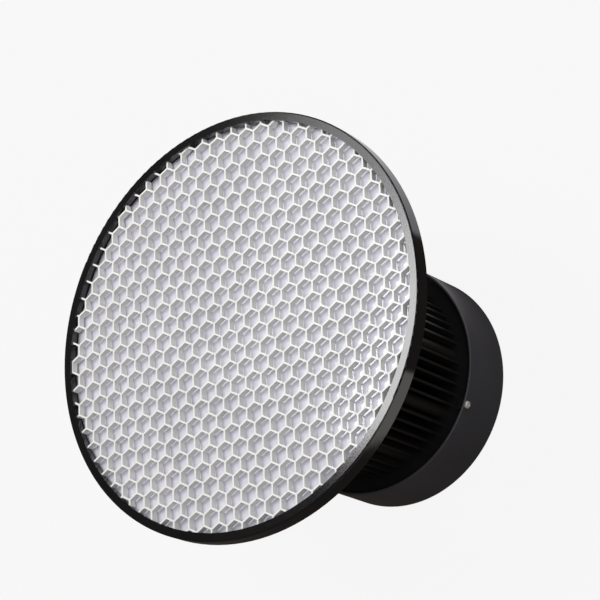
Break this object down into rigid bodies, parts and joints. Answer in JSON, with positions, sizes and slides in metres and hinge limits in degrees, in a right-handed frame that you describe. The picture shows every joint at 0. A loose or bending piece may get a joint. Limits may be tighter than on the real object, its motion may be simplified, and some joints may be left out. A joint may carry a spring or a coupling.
{
  "type": "surface-mounted LED luminaire with honeycomb louvre",
  "caption": "Round surface luminaire: honeycomb louvre and diffuser in a twist-off bezel on a finned heat sink and canopy cup.",
  "frame": {"origin": "centre of the canopy's mounting face, where the luminaire meets the ceiling or wall", "axes": "+Z out of the lit face, through the canopy, heat sink and honeycomb; +X across the lit face, square to one pair of the cells' flats"},
  "size_m": [0.3, 0.3, 0.21],
  "materials": {
    "black_bezel": "satin",
    "black_anodised": "matte",
    "black_cup": "satin",
    "white_louvre": "satin",
    "opal_diffuser": "gloss",
    "silicone": "matte",
    "black_rubber": "matte",
    "white_board": "satin",
    "led_yellow": "gloss",
    "white_liner": "matte",
    "steel": "polished",
    "black_screw": "satin",
    "thermal_grey": "matte",
    "driver_white": "matte",
    "green_board": "satin",
    "component_dark": "satin",
    "brass_part": "satin",
    "lead_jacket": "satin"
  },
  "bodies": {
    "luminaire": {"diffuser_panel": "opal_diffuser", "diffuser_gasket": "silicone", "pan_rim": "black_cup", "head_pan": "black_cup", "head_screws": "steel", "led_board": "white_board", "led_board_screws": "steel", "led_packages": "led_yellow", "reflector_liner": "white_liner", "thermal_pad": "thermal_grey", "heatsink": "black_anodised", "canopy_shell": "black_cup", "mouth_plate": "black_cup", "canopy_side_screws": "steel", "heatsink_screws": "black_screw", "cable_grommet": "black_rubber", "driver_case": "driver_white", "driver_lid": "driver_white", "driver_screws": "steel", "driver_board": "green_board", "driver_board_spacers": "driver_white", "driver_transformer": "component_dark", "driver_capacitors": "component_dark", "terminal_block": "driver_white", "terminal_screws": "brass_part", "earth_stud": "brass_part", "earth_nut": "brass_part", "earth_washer": "steel", "led_leads": "lead_jacket"},
    "front": {"bezel_ring": "black_bezel", "honeycomb_grid": "white_louvre"}
  },
  "joints": [
    {"name": "bezel_twist", "type": "hinge", "parent": "luminaire", "child": "front", "pos_m": [0, 0, 0.2], "axis": [0, 0, 1], "range_deg": [0, 12]}
  ]
}
